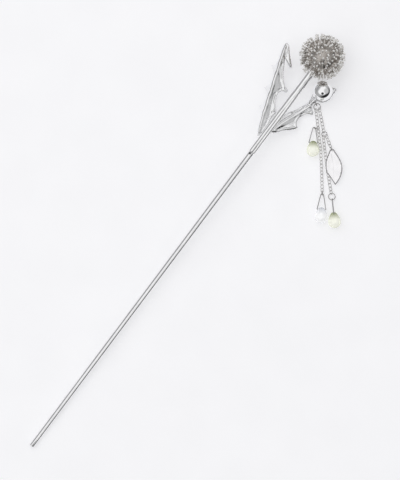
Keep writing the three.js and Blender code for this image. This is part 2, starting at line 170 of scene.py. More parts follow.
def bump(tree, shader, heights):
    """heights is a list of (value, depth in metres), the coarsest first."""
    normal = None
    for value, depth in heights:
        b = tree.nodes.new("ShaderNodeBump")
        b.inputs["Strength"].default_value = 1.0
        b.inputs["Distance"].default_value = depth
        link(tree, value, b.inputs["Height"])
        if normal is not None:
            link(tree, normal, b.inputs["Normal"])
        normal = b.outputs["Normal"]
    link(tree, normal, shader.inputs["Normal"])


def metal_material(name, dark, bright, rough, grain, dents, stretch=None):
    """rough is (low, high), grain and dents are (noise scale per metre, depth in metres)."""
    m, tree, shader, coords = start_material(name)
    shader.inputs["Metallic"].default_value = 1.0
    tint = noise(tree, coords, 320.0, 4.0)
    link(tree, ramp(tree, tint, dark, bright), shader.inputs["Base Color"])
    wear = noise(tree, coords, grain[0] * 0.5, 5.0, stretch)
    link(tree, spread(tree, wear, *rough), shader.inputs["Roughness"])
    fine = noise(tree, coords, grain[0], 2.0, stretch)
    coarse = noise(tree, coords, dents[0], 2.0)
    bump(tree, shader, [(coarse, dents[1]), (fine, grain[1])])
    return m


def head_material():
    """Prongs lighter at their rounded tips, with painted shade darkening the colour deeper into the
    gaps between them.
    """
    m, tree, shader, coords = start_material("seed_head_metal")
    shader.inputs["Metallic"].default_value = 1.0
    centre = TO_FRAME @ HEAD_CENTRE
    # painted shade: the colour darkens with depth into the gaps between the prongs
    away = tree.nodes.new("ShaderNodeVectorMath")
    away.operation = "DISTANCE"
    away.inputs[1].default_value = centre
    link(tree, coords, away.inputs[0])
    depth = tree.nodes.new("ShaderNodeMapRange")
    depth.inputs["From Min"].default_value = 0.0056
    depth.inputs["From Max"].default_value = 0.0084
    link(tree, away.outputs["Value"], depth.inputs["Value"])
    blotch = noise(tree, coords, 500.0, 3.0)
    mixed = tree.nodes.new("ShaderNodeMath")
    mixed.operation = "MULTIPLY_ADD"
    mixed.inputs[1].default_value = 0.35
    link(tree, blotch, mixed.inputs[0])
    link(tree, depth.outputs["Result"], mixed.inputs[2])
    color = ramp(tree, mixed.outputs["Value"], (0.43, 0.40, 0.37), (1.0, 0.99, 0.97), 0.3, 0.8)
    link(tree, color, shader.inputs["Base Color"])
    wear = noise(tree, coords, 1500.0, 3.0)
    link(tree, spread(tree, wear, 0.1, 0.24), shader.inputs["Roughness"])
    bump(tree, shader, [(noise(tree, coords, 2500.0, 2.0), 0.00003)])
    return m


def glass_material(name, pale, deep, crown, crown_at):
    """Milky glass, deeper in colour at its edges, with painted shade round the drilled hole at crown_at
    and a painted glow.
    """
    m, tree, shader, coords = start_material(name)
    cloud = noise(tree, coords, 260.0, 4.0, distortion=1.2)
    rim = tree.nodes.new("ShaderNodeLayerWeight")
    rim.inputs["Blend"].default_value = 0.35
    depth = tree.nodes.new("ShaderNodeMath")
    depth.operation = "MULTIPLY_ADD"
    depth.inputs[1].default_value = 0.25
    link(tree, cloud, depth.inputs[0])
    link(tree, rim.outputs["Facing"], depth.inputs[2])
    body = ramp(tree, depth.outputs["Value"], pale, deep, 0.35, 1.0)
    # painted shade: the colour darkens towards crown_at, round the drilled hole
    away = tree.nodes.new("ShaderNodeVectorMath")
    away.operation = "DISTANCE"
    away.inputs[1].default_value = crown_at
    link(tree, coords, away.inputs[0])
    fade = tree.nodes.new("ShaderNodeMapRange")
    fade.inputs["From Min"].default_value = 0.0007
    fade.inputs["From Max"].default_value = 0.0033
    link(tree, away.outputs["Value"], fade.inputs["Value"])
    mix = tree.nodes.new("ShaderNodeMix")
    mix.data_type = "RGBA"
    mix.inputs["A"].default_value = (*crown, 1)
    link(tree, fade.outputs["Result"], mix.inputs["Factor"])
    link(tree, body, mix.inputs["B"])
    link(tree, mix.outputs["Result"], shader.inputs["Base Color"])
    shader.inputs["Transmission Weight"].default_value = 0.42
    shader.inputs["IOR"].default_value = 1.5
    shader.inputs["Coat Weight"].default_value = 0.4
    shader.inputs["Coat Roughness"].default_value = 0.02
    # painted light: the glass glows in its own colour
    link(tree, mix.outputs["Result"], shader.inputs["Emission Color"])
    shader.inputs["Emission Strength"].default_value = GLASS_GLOW
    link(tree, spread(tree, noise(tree, coords, 900.0, 3.0), 0.02, 0.09), shader.inputs["Roughness"])
    bump(tree, shader, [(noise(tree, coords, 420.0, 2.0), 0.00002)])
    return m


def floor_material():
    m, tree, shader, coords = start_material("studio_paper")
    link(tree, ramp(tree, noise(tree, coords, 60.0, 5.0), (0.60, 0.60, 0.61), (0.62, 0.62, 0.63)),
         shader.inputs["Base Color"])
    shader.inputs["Emission Color"].default_value = (1.0, 1.0, 1.02, 1.0)
    shader.inputs["Emission Strength"].default_value = FLOOR_GLOW
    link(tree, spread(tree, noise(tree, coords, 400.0, 4.0), 0.8, 0.95), shader.inputs["Roughness"])
    shader.inputs["Specular IOR Level"].default_value = 0.1
    bump(tree, shader, [(noise(tree, coords, 900.0, 4.0), 0.00002)])
    return m


def darken_near(material, point, radius):
    """A spot on a metal darkened to near black, about a point in the row frame."""
    tree = material.node_tree
    shader = tree.nodes["Principled BSDF"]
    coords = tree.nodes.new("ShaderNodeTexCoord").outputs["Object"]
    away = tree.nodes.new("ShaderNodeVectorMath")
    away.operation = "DISTANCE"
    away.inputs[1].default_value = point
    link(tree, coords, away.inputs[0])
    fade = tree.nodes.new("ShaderNodeMapRange")
    fade.inputs["From Min"].default_value = radius * 0.6
    fade.inputs["From Max"].default_value = radius * 1.3
    link(tree, away.outputs["Value"], fade.inputs["Value"])
    unspotted_colour = shader.inputs["Base Color"].links[0].from_socket
    mix = tree.nodes.new("ShaderNodeMix")
    mix.data_type = "RGBA"
    mix.inputs["A"].default_value = (0.05, 0.05, 0.05, 1)
    link(tree, fade.outputs["Result"], mix.inputs["Factor"])
    link(tree, unspotted_colour, mix.inputs["B"])
    link(tree, mix.outputs["Result"], shader.inputs["Base Color"])


STEEL = metal_material("drawn_steel", (0.86, 0.86, 0.87), (0.93, 0.93, 0.935), (0.09, 0.2),
                       (900.0, 0.000012), (60.0, 0.00006), (0.02, 1.0, 1.0))
CAST = metal_material("polished_casting", (0.88, 0.88, 0.885), (0.95, 0.95, 0.955), (0.05, 0.15),
                      (1600.0, 0.000006), (190.0, 0.00012))

AXIS = shift(0, TIP_Y, TIP_RADIUS) @ Matrix.Rotation(YAW, 4, "Z") @ Matrix.Rotation(-TILT, 4, "Y")
# The stick's colour is darkened to near black over its dented pit.
pit_at = TO_FRAME @ AXIS @ Vector((STICK_LENGTH - PIT_BEFORE_END, PIT_LEFT, 1.0))
darken_near(STEEL, pit_at, PIT_RADIUS / 1000)
BEAD = metal_material("mirror_bead", (0.93, 0.93, 0.935), (0.96, 0.96, 0.965), (0.015, 0.06),
                      (2000.0, 0.000002), (120.0, 0.00001))
FINE = metal_material("chain_wire", (0.76, 0.75, 0.74), (0.90, 0.89, 0.88), (0.12, 0.28),
                      (2600.0, 0.00001), (700.0, 0.00002))
WIRE = metal_material("ring_wire", (0.36, 0.35, 0.34), (0.56, 0.55, 0.54), (0.1, 0.24),
                      (2600.0, 0.00001), (700.0, 0.00002))
LEAF = metal_material("leaf_casting", (0.86, 0.86, 0.865), (0.94, 0.94, 0.945), (0.06, 0.16),
                      (1600.0, 0.000006), (190.0, 0.00022))
PLATE = metal_material("leaf_plate_metal", (0.92, 0.91, 0.92), (0.98, 0.97, 0.98), (0.05, 0.14),
                       (1200.0, 0.000008), (160.0, 0.00008))
# Painted shade: the leaf plate's rim is coloured far darker than the plate, for the dark line along its
# edge.
PAINTED_SHADE_RIM = metal_material("leaf_plate_rim", (0.34, 0.33, 0.33), (0.5, 0.49, 0.49), (0.15, 0.3),
                     (1200.0, 0.000008), (160.0, 0.00002))
HEAD = head_material()
# The third colour of each glass is painted shade round its drilled hole.
GREEN_GLASS = ((1.0, 1.0, 0.93), (0.80, 0.86, 0.56), (0.24, 0.28, 0.09))
CLEAR_GLASS = ((1.0, 1.0, 1.0), (0.93, 0.94, 0.97), (0.66, 0.68, 0.72))

# ---------------------------------------------------------------- mesh helpers


def build(name, verts, faces, material, body, slot, at=Matrix(), replaced=(), sharp=None):
    """A smooth piece from millimetre points, placed by a millimetre matrix."""
    whole = TO_FRAME @ at
    mesh = bpy.data.meshes.new(name)
    mesh.from_pydata([whole @ Vector(v) for v in verts], [], faces)
    mesh.validate()
    mesh.update()
    mesh.polygons.foreach_set("use_smooth", [True] * len(mesh.polygons))
    if sharp is not None:
        mesh.set_sharp_from_angle(angle=math.radians(sharp))
    mesh.materials.append(material)
    piece = bpy.data.objects.new(name, mesh)
    bpy.context.scene.collection.objects.link(piece)
    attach(piece, body)
    if replaced:
        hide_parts(*replaced)
    return piece


def merge(parts):
    """Several (verts, faces) as one."""
    verts, faces = [], []
    for v, f in parts:
        start = len(verts)
        verts.extend(v)
        faces.extend([tuple(i + start for i in face) for face in f])
    return verts, faces


def lathe(profile, sides, squash=1.0):
    """A solid of revolution about X, from a list of (x, radius) that starts and ends on the axis."""
    verts = [Vector((profile[0][0], 0, 0))]
    for x, r in profile[1:-1]:
        for i in range(sides):
            a = 2 * math.pi * i / sides
            verts.append(Vector((x, r * math.cos(a), squash * r * math.sin(a))))
    verts.append(Vector((profile[-1][0], 0, 0)))
    rings = len(profile) - 2
    faces = []
    for i in range(sides):
        j = (i + 1) % sides
        faces.append((0, 1 + j, 1 + i))
        for k in range(rings - 1):
            a = 1 + k * sides
            faces.append((a + i, a + j, a + sides + j, a + sides + i))
        a = 1 + (rings - 1) * sides
        faces.append((a + i, a + j, len(verts) - 1))
    return verts, faces


def smooth_line(points, closed, steps, sharp=()):
    """A centripetal Catmull-Rom line through points, with a corner left at each sharp one."""
    n = len(points)
    pts = [Vector(p) for p in points]
    found = []
    for i in range(n if closed else n - 1):
        b, c = pts[i], pts[(i + 1) % n]
        a = pts[(i - 1) % n] if closed or i > 0 else b + (b - c)
        d = pts[(i + 2) % n] if closed or i < n - 2 else c + (c - b)
        if i in sharp:
            a = b + (b - c)
        if (i + 1) % n in sharp:
            d = c + (c - b)
        ta = 0.0
        tb = ta + max((b - a).length, 1e-6) ** 0.5
        tc = tb + max((c - b).length, 1e-6) ** 0.5
        td = tc + max((d - c).length, 1e-6) ** 0.5
        for k in range(steps):
            t = tb + (tc - tb) * k / steps
            p = a * ((tb - t) / (tb - ta)) + b * ((t - ta) / (tb - ta))
            q = b * ((tc - t) / (tc - tb)) + c * ((t - tb) / (tc - tb))
            r = c * ((td - t) / (td - tc)) + d * ((t - tc) / (td - tc))
            u = p * ((tc - t) / (tc - ta)) + q * ((t - ta) / (tc - ta))
            v = q * ((td - t) / (td - tb)) + r * ((t - tb) / (td - tb))
            found.append(u * ((tc - t) / (tc - tb)) + v * ((t - tb) / (tc - tb)))
    if not closed:
        found.append(pts[-1])
    return found


def tube(points, radius, sides, closed=False, rounded=True):
    """A round wire along a line of points. radius is a number or one for each point."""
    pts = [Vector(p) for p in points]
    n = len(pts)
    radii = list(radius) if hasattr(radius, "__len__") else [radius] * n
    ways = []
    for i in range(n):
        before = pts[(i - 1) % n] if closed or i > 0 else pts[i]
        after = pts[(i + 1) % n] if closed or i < n - 1 else pts[i]
        ways.append((after - before).normalized())
    if rounded and not closed:
        first, last = pts[0], pts[-1]
        r0, r1 = radii[0], radii[-1]
        caps = (0.25, 0.6, 0.9)
        head = [(first - ways[0] * r0 * math.cos(math.asin(s)), r0 * s) for s in caps]
        tail = [(last + ways[-1] * r1 * math.cos(math.asin(s)), r1 * s) for s in reversed(caps)]
        pts = [p for p, _ in head] + pts + [p for p, _ in tail]
        radii = [r for _, r in head] + radii + [r for _, r in tail]
        ways = [ways[0]] * 3 + ways + [ways[-1]] * 3
        n = len(pts)
    side = ways[0].orthogonal().normalized()
    sides_at = []
    for i in range(n):
        side = (side - ways[i] * side.dot(ways[i])).normalized()
        sides_at.append(side.copy())
    twist = 0.0
    if closed:
        again = (sides_at[-1] - ways[0] * sides_at[-1].dot(ways[0])).normalized()
        twist = math.atan2(ways[0].dot(sides_at[0].cross(again)), sides_at[0].dot(again))
    verts = []
    for i in range(n):
        u = sides_at[i]
        v = ways[i].cross(u)
        start_angle = -twist * i / n
        for k in range(sides):
            a = 2 * math.pi * k / sides + start_angle
            verts.append(pts[i] + (u * math.cos(a) + v * math.sin(a)) * radii[i])
    faces = []
    for i in range(n if closed else n - 1):
        a, b = i * sides, ((i + 1) % n) * sides
        for k in range(sides):
            m = (k + 1) % sides
            faces.append((a + k, a + m, b + m, b + k))
    if not closed:
        faces.append(tuple(reversed(range(sides))))
        faces.append(tuple(range((n - 1) * sides, n * sides)))
    return verts, faces


def moved(part, matrix):
    verts, faces = part
    return [matrix @ Vector(v) for v in verts], faces


# ---------------------------------------------------------------- leaves


def to_line(px, py, line):
    """Distance from points to a broken line."""
    best = np.full(px.shape, 1e9)
    for (x0, y0), (x1, y1) in zip(line[:-1], line[1:]):
        dx, dy = x1 - x0, y1 - y0
        t = np.clip(((px - x0) * dx + (py - y0) * dy) / (dx * dx + dy * dy + 1e-12), 0, 1)
        best = np.minimum(best, np.hypot(px - x0 - t * dx, py - y0 - t * dy))
    return best


def blade(outline, steps, sharp, spacing, height, reliefs, half_thickness, edge, roll=0.0):
    """A cast blade: a fine sheet over an outline, raised by height and reliefs, with a rounded edge."""
    rim = [Vector((p.x, p.y)) for p in smooth_line([(x, y, 0) for x, y in outline], True, steps, sharp)]
    xs, ys = [p.x for p in rim], [p.y for p in rim]
    gx, gy = np.meshgrid(np.arange(min(xs), max(xs), spacing), np.arange(min(ys), max(ys), spacing))
    gx[1::2] += spacing / 2
    gx, gy = gx.ravel(), gy.ravel()
    ring = [(p.x, p.y) for p in rim] + [(rim[0].x, rim[0].y)]
    inside = np.zeros(gx.shape, bool)
    for (x0, y0), (x1, y1) in zip(ring[:-1], ring[1:]):
        if y0 == y1:
            continue
        crosses = ((y0 > gy) != (y1 > gy)) & (gx < (x1 - x0) * (gy - y0) / (y1 - y0) + x0)
        inside ^= crosses
    inside &= to_line(gx, gy, ring) > spacing * 0.45
    points = rim + [Vector((x, y)) for x, y in zip(gx[inside], gy[inside])]
    n = len(rim)
    edges = [(i, (i + 1) % n) for i in range(n)]
    flat, _, tris, _, _, _ = geometry.delaunay_2d_cdt(points, edges, [], 1, 1e-5)
    px = np.array([p.x for p in flat])
    py = np.array([p.y for p in flat])
    from_edge = to_line(px, py, ring)
    on_rim = from_edge < 1e-4
    lift = np.zeros(px.shape)
    for line, amount, width in reliefs:
        lift += amount * np.exp(-((to_line(px, py, line) / width) ** 2))
    raised = np.exp(-(((from_edge - 0.55) / 0.3) ** 2))
    hollow = np.exp(-(((from_edge - 1.15) / 0.3) ** 2))
    lift += roll * raised - 0.6 * roll * hollow
    keep = np.clip(from_edge / edge, 0, 1)
    round_edge = np.sqrt(1 - (1 - keep) ** 2)
    lift *= np.clip(from_edge / (edge * 1.2), 0, 1)
    step = 0.02
    middle = height(px, py)
    sx = (height(px + step, py) - height(px - step, py)) / (2 * step)
    sy = (height(px, py + step) - height(px, py - step)) / (2 * step)
    slope = np.sqrt(1 + sx ** 2 + sy ** 2)
    nx, ny, nz = -sx / slope, -sy / slope, 1 / slope
    up = half_thickness * round_edge + lift * np.sqrt(nz)
    down = -half_thickness * round_edge
    top = [Vector((px[i] + nx[i] * up[i], py[i] + ny[i] * up[i], middle[i] + nz[i] * up[i]))
           for i in range(len(px))]
    verts = list(top)
    under = {}
    for i in range(len(px)):
        if on_rim[i]:
            under[i] = i
        else:
            under[i] = len(verts)
            verts.append(Vector((px[i] + nx[i] * down[i], py[i] + ny[i] * down[i],
                                 middle[i] + nz[i] * down[i])))
    faces = []
    for a, b, c in tris:
        if (flat[b] - flat[a]).cross(flat[c] - flat[a]) < 0:
            b, c = c, b
        faces.append((a, b, c))
        if not (on_rim[a] and on_rim[b] and on_rim[c]):
            faces.append((under[c], under[b], under[a]))
    return verts, faces


def left_height(x, y):
    x0, y0, x1, y1 = 136.0, 1.9, 168.0, 13.1
    length = math.hypot(x1 - x0, y1 - y0)
    part = ((x - x0) * (x1 - x0) + (y - y0) * (y1 - y0)) / length ** 2
    across = ((x1 - x0) * (y - y0) - (y1 - y0) * (x - x0)) / length
    ridge = 5.6 + 1.8 * part + 0.6 * np.sin(np.pi * np.clip(part, 0, 1))
    return ridge - 0.95 * across - 1.25 * (np.sqrt(across ** 2 + 0.12) - 0.346)


LEFT_OUTLINE = [
    (137.2, 0.3), (135.6, 1.3), (138.3, 2.9), (143.6, 5.4), (144.6, 7.4), (146.9, 6.6),
    (149.9, 7.7), (151.0, 9.6), (153.4, 8.9), (156.8, 10.1), (158.6, 12.2), (160.2, 11.2),
    (164.6, 12.4), (167.2, 12.9), (168.1, 12.5), (167.9, 11.3), (165.7, 9.3), (163.7, 7.2),
    (162.4, 6.0), (161.7, 6.2), (162.1, 7.6), (163.2, 9.6), (161.0, 8.3), (158.0, 6.4),
    (155.8, 3.8), (154.8, 1.9), (154.0, 2.2), (153.4, 3.6), (152.1, 4.2), (150.3, 3.7),
    (148.0, 2.4), (146.2, 0.8), (144.1, 1.0), (141.5, 0.6),
]
LEFT_SHARP = {1, 4, 7, 10, 21, 25}
LEFT_RIB = [(137.2, 1.9), (143.3, 4.2), (149.3, 6.2), (155.1, 8.2), (161.5, 10.4), (166.8, 12.1)]
LEFT_RELIEFS = [
    (LEFT_RIB, 0.45, 0.42),
    ([(163.2, 9.6), (165.6, 11.1), (167.5, 12.2)], -0.35, 0.28),
    ([(162.2, 6.9), (164.2, 9.0), (167.2, 11.6)], 0.32, 0.55),
    ([(161.4, 9.4), (159.1, 8.6), (155.6, 6.4), (154.0, 4.2)], -0.32, 0.32),
    ([(153.4, 4.6), (150.7, 5.2), (147.3, 3.9), (143.1, 2.0), (140.2, 1.2)], -0.3, 0.32),
    ([(160.6, 8.6), (157.4, 6.8), (155.0, 3.8)], 0.2, 0.5),
    ([(152.0, 4.7), (149.4, 4.1), (146.2, 2.2)], 0.2, 0.5),
    ([(143.0, 4.9), (144.3, 6.6)], -0.12, 0.25),
    ([(149.4, 7.1), (150.6, 8.8)], -0.12, 0.25),
    ([(156.3, 9.4), (158.1, 11.4)], -0.12, 0.25),
]


def right_height(x, y):
    x0, y0, x1, y1 = 139.6, -1.8, 166.1, -11.8
    along = (x - x0) * (x1 - x0) + (y - y0) * (y1 - y0)
    part = np.clip(along / ((x1 - x0) ** 2 + (y1 - y0) ** 2), 0, 1)
    from_bead = np.hypot(x - BEAD_CENTRE.x, y - BEAD_CENTRE.y)
    cup = np.where(from_bead < 5, 0.16 * np.maximum(from_bead - 2.5, 0), 0)
    return 5.15 - 4.73 * np.sin(part * np.pi / 2) + cup


RIGHT_OUTLINE = [
    (138.2, -0.5), (143.0, -0.6), (145.5, -1.0), (147.4, -1.7), (149.7, -2.9), (151.6, -4.1),
    (153.1, -4.8), (154.6, -5.4), (156.5, -6.0), (158.5, -5.6), (160.7, -5.0), (163.3, -5.2),
    (165.2, -7.0), (165.5, -9.4), (166.2, -11.3), (165.7, -11.6), (163.9, -11.5), (161.5, -11.6),
    (159.9, -10.9), (158.8, -9.9), (158.45, -8.4), (157.6, -8.25), (157.0, -7.9), (155.9, -8.0),
    (155.0, -8.6), (154.3, -9.6), (153.6, -10.0), (153.1, -9.5), (152.3, -8.0), (150.6, -7.1),
    (149.2, -6.9), (147.8, -7.2), (146.6, -8.4), (145.9, -8.2), (144.4, -6.9), (142.4, -4.8),
    (139.6, -2.5),
]
RIGHT_SHARP = {0, 26, 32}
RIGHT_RELIEFS = [
    ([(139.8, -1.5), (144.7, -2.8), (148.0, -4.1), (151.7, -5.7), (155.6, -7.0)], 0.55, 0.8),
    ([(140.5, -1.8), (144.7, -2.9), (148.0, -4.2), (151.7, -5.8), (155.0, -6.9)], -0.32, 0.2),
    ([(149.8, -3.9), (151.8, -4.9), (153.6, -5.5)], -0.75, 0.42),
    ([(151.0, -6.7), (152.8, -7.4), (154.4, -8.0)], -0.7, 0.38),
    ([(142.6, -4.4), (145.0, -6.4), (146.5, -7.8)], 0.15, 0.4),
    ([(141.2, -3.1), (144.6, -4.6), (147.6, -6.1)], -0.25, 0.35),
]

# ---------------------------------------------------------------- stick and stem


def make_stick():
    profile = [(0.0, 0.0), (0.0, 0.5), (0.0, 0.78), (0.03, 0.87), (0.1, 0.925), (0.2, 0.95)]
    for i in range(1, 40):
        x = 0.2 + (STICK_LENGTH - 0.9 - 0.2) * i / 40
        profile.append((x, TIP_RADIUS + (STICK_TOP_RADIUS - TIP_RADIUS) * x / STICK_LENGTH))
    for i in range(12):
        profile.append((STICK_LENGTH - 1.0 + 0.07 * i, STICK_TOP_RADIUS))
    profile += [(STICK_LENGTH - 0.14, 1.1), (STICK_LENGTH - 0.07, 1.04), (STICK_LENGTH - 0.02, 0.95)]
    profile += [(STICK_LENGTH, 0.8), (STICK_LENGTH, 0.4), (STICK_LENGTH, 0.0)]
    verts, faces = lathe(profile, 72)
    pit = Vector((STICK_LENGTH - PIT_BEFORE_END, PIT_LEFT, 1.08))
    for v in verts:
        near = (v - pit).length / PIT_RADIUS
        if near < 1:
            v.z -= 0.3 * (1 - near ** 2)
    return build("stick", verts, faces, STEEL, "pin", "pin_shaft", AXIS, ["pin_shaft"], sharp=50)


def make_stem():
    """A cast bar of two lobes side by side, which merge into one towards the head."""
    length = STEM_END - STEM_START
    stations = [0.0, 0.06, 0.15, 0.3, 0.5] + [0.5 + (length - 0.5) * i / 70 for i in range(1, 71)]
    sides = 72
    verts, faces = [], []
    for x in stations:
        foot = float(np.interp(x, [0, 0.06, 0.15, 0.3, 0.5, 2], [0.72, 0.84, 0.92, 0.97, 0.99, 1.0]))
        swell = foot * (1 + 0.012 * math.sin(x * 0.9) + 0.01 * math.sin(x * 2.1 + 1))
        single = float(np.interp(x, [0, 18, 27, 38], [0.0, 0.0, 0.75, 0.9]))
        radius = float(np.interp(x, [0, 10, 38], [1.2, 1.26, 1.34]))
        left_reach, left_radius = 0.36, float(np.interp(x, [0, 38], [0.86, 0.97]))
        right_reach, right_radius = 0.54, float(np.interp(x, [0, 38], [0.7, 0.82]))
        for k in range(sides):
            a = 2 * math.pi * k / sides
            sa, ca = math.sin(a), math.cos(a)
            left = -left_reach * ca + math.sqrt(left_radius ** 2 - (left_reach * sa) ** 2)
            right = right_reach * ca + math.sqrt(right_radius ** 2 - (right_reach * sa) ** 2)
            r = (max(left, right) * (1 - single) + radius * single) * swell
            verts.append(Vector((STEM_START + x, -r * ca, r * sa)))
    n = len(stations)
    for i in range(n - 1):
        for k in range(sides):
            m = (k + 1) % sides
            a, b = i * sides, (i + 1) * sides
            faces.append((a + k, b + k, b + m, a + m))
    faces.append(tuple(range(sides)))
    faces.append(tuple(reversed(range((n - 1) * sides, n * sides))))
    return build("stem", verts, faces, CAST, "pin", "flower_stem", AXIS, ["flower_stem"], sharp=60)


# ---------------------------------------------------------------- seed head and bead


def spread_directions(count):
    golden = math.pi * (3 - math.sqrt(5))
    for i in range(count):
        z = 1 - (2 * i + 1) / count
        flat = math.sqrt(1 - z * z)
        yield Vector((flat * math.cos(golden * i), flat * math.sin(golden * i), z))


def make_head():
    """A core under a few hundred round-ended prongs, its colour painted dark as shade in the gaps."""
    dice = random.Random(11)
    bead_at = BEAD_CENTRE - HEAD_CENTRE
    stem_at = AXIS @ Vector((STEM_END, 0, 0)) - HEAD_CENTRE
    profile = [(PRONG_ROOT, 0.0), (PRONG_ROOT, 0.2), (6.6, 0.2), (7.75, 0.24), (8.05, 0.32),
               (8.22, 0.36), (8.38, 0.31), (8.47, 0.17), (HEAD_RADIUS, 0.0)]
    parts = []
    for way in spread_directions(PRONGS):
        outer = way * HEAD_RADIUS
        t = min(max(bead_at.dot(outer) / outer.length_squared, 0.0), 1.0)
        clears_bead = (outer * t - bead_at).length > BEAD_RADIUS + PRONG_BEAD_GAP
        if not clears_bead or way.angle(stem_at) < math.radians(PRONG_STEM_ANGLE):
            continue
        reach = dice.uniform(*PRONG_REACH)
        lean = Vector((dice.gauss(0, 1), dice.gauss(0, 1), dice.gauss(0, 1))) * PRONG_LEAN
        aim_at = (way + lean).normalized()
        matrix = Vector((1, 0, 0)).rotation_difference(aim_at).to_matrix().to_4x4()
        stretch = (HEAD_RADIUS * reach - PRONG_ROOT) / (HEAD_RADIUS - PRONG_ROOT)
        pin = [(PRONG_ROOT + (x - PRONG_ROOT) * stretch, r) for x, r in profile]
        parts.append(moved(lathe(pin, 8), matrix))
    core_profile = []
    rows = 30
    for i in range(rows + 1):
        a = math.pi * i / rows
        core_profile.append((-CORE_RADIUS * math.cos(a), CORE_RADIUS * math.sin(a)))
    core_profile[0] = (-CORE_RADIUS, 0.0)
    core_profile[-1] = (CORE_RADIUS, 0.0)
    verts, faces = lathe(core_profile, 48)
    bumpy = []
    for v in verts:
        w = v.normalized()
        pimple = math.sin(w.x * 21) * math.sin(w.y * 23 + 1) * math.sin(w.z * 22 + 2)
        bumpy.append(v * (1 + 0.02 * pimple))
    parts.append((bumpy, faces))
    at = Matrix.Translation(HEAD_CENTRE)
    return build("seed_prongs", *merge(parts), HEAD, "pin", "seed_head", at, ["seed_head"])


def make_bead():
    """A turned mirror ball on a small solder foot that joins it to the leaf."""
    rows = 40
    profile = []
    for i in range(rows + 1):
        a = math.pi * i / rows
        x, r = -BEAD_RADIUS * math.cos(a), BEAD_RADIUS * math.sin(a)
        profile.append((x, r))
    profile[0] = (-BEAD_RADIUS, 0.0)
    foot = [(-BEAD_RADIUS - 0.75, 0.0), (-BEAD_RADIUS - 0.75, 1.9), (-BEAD_RADIUS - 0.45, 1.55),
            (-BEAD_RADIUS - 0.1, 1.3), (-3.42, 1.38)]
    body = foot + [p for p in profile if p[0] > -3.4]
    body[-1] = (BEAD_RADIUS, 0.0)
    at = Matrix.Translation(BEAD_CENTRE) @ turn(-90, "Y")
    return build("dew_drop_bead", *lathe(body, 64), BEAD, "pin", "dew_bead", at, ["dew_bead"])


# ---------------------------------------------------------------- chains and rings

DANGLES = shift(EYELET[0], EYELET[1], 0) @ turn(STRAND_HEADING, "Z")


def ahead(start, distance, heading, climb=0.0):
    h, c = math.radians(heading), math.radians(climb)
    way = Vector((math.cos(h) * math.cos(c), math.sin(h) * math.cos(c), math.sin(c)))
    return Vector(start) + way * distance


def aim(at, heading, climb=0.0, roll=0.0):
    return Matrix.Translation(at) @ turn(heading, "Z") @ turn(-climb, "Y") @ turn(roll, "X")


def link_shape():
    """A soldered oval link in the local XY plane, its length along x."""
    half_length = (LINK_LENGTH - LINK_WIRE) / 2
    half_width = (LINK_WIDTH - LINK_WIRE) / 2
    straight = half_length - half_width
    points = []
    for i in range(9):
        a = -math.pi / 2 + math.pi * i / 8
        points.append(Vector((straight + half_width * math.cos(a), half_width * math.sin(a), 0)))
    for i in range(9):
        a = math.pi / 2 + math.pi * i / 8
        points.append(Vector((-straight + half_width * math.cos(a), half_width * math.sin(a), 0)))
    return tube(points, LINK_WIRE / 2 * 0.95, 8, closed=True)


LINK = link_shape()


def chain_reach(count):
    return LINK_PITCH * count + LINK_LENGTH - LINK_WIRE - LINK_PITCH - HOOK_BACK


def add_chain(name, start, heading, count, climb=0.0, body=None, first=45.0):
    dice = random.Random(name)
    parts = []
    for i in range(count):
        roll = first if i % 2 == 0 else first - 90.0
        roll += dice.uniform(-7, 7)
        yaw = dice.uniform(-2.5, 2.5)
        middle = LINK_LENGTH / 2 - LINK_WIRE / 2 - HOOK_BACK + LINK_PITCH * i
        parts.append(moved(LINK, shift(middle) @ turn(yaw, "Z") @ turn(roll, "X")))
    at = DANGLES @ aim(start, heading, climb)
    build("links_" + name, *merge(parts), FINE, body or name, name, at, [name])
    return ahead(start, chain_reach(count), heading, climb)


def jump_ring(half_x, half_y=None):
    """A ring of round wire in the local XY plane, with the fine cut where it was closed."""
    half_y = half_y or half_x
    count = 44
    points = []
    for i in range(count + 1):
        a = math.radians(96) + math.radians(352) * i / count
        points.append(Vector((half_x * math.cos(a), half_y * math.sin(a), 0)))
    return tube(points, RING_WIRE, 10, rounded=False)


def add_ring(name, at, shape):
    build("round_" + name, *shape, WIRE, name, name, at, [name], sharp=50)


def add_upright_ring(name, hook, heading, radius):
    centre_z = max(hook.z, radius + RING_WIRE + TABLE_GAP)
    bar = LINK_WIRE / 2
    room = math.sqrt((radius - RING_WIRE) ** 2 - (centre_z - hook.z + bar) ** 2)
    middle = ahead(hook, room - HOOK_GAP - bar, heading)
    at = Vector((middle.x, middle.y, centre_z))
    add_ring(name, DANGLES @ aim(at, heading) @ turn(90, "X"), jump_ring(radius))
    return ahead(middle, room - HOOK_GAP - bar + HOOK_BACK, heading)


def add_flat_ring(name, hook, heading, radius):
    middle = ahead(hook, radius - HOOK_BACK, heading)
    add_ring(name, DANGLES @ aim(middle, heading), jump_ring(radius))
    return middle


def start_on_ring(middle, radius, around, heading):
    back = RING_HOOK_BACK / math.cos(math.radians(around - heading))
    return ahead(ahead(middle, radius, around), HOOK_BACK - back, heading)


# ---------------------------------------------------------------- drops and plate


def bail_shape():
    right = [(-0.43, 0), (-0.25, 0.36), (0.3, 0.56), (BAIL_LENGTH - 0.7, BAIL_HALF_WIDTH - 0.14),
             (BAIL_LENGTH - 0.12, BAIL_HALF_WIDTH), (BAIL_LENGTH, BAIL_HALF_WIDTH - 0.4),
             (BAIL_LENGTH, 0.25)]
    left = [(x, -y) for x, y in right[:0:-1]]
    line = smooth_line([(x, y, 0) for x, y in left + right], False, 8)
    return tube(line, BAIL_WIRE, 10)


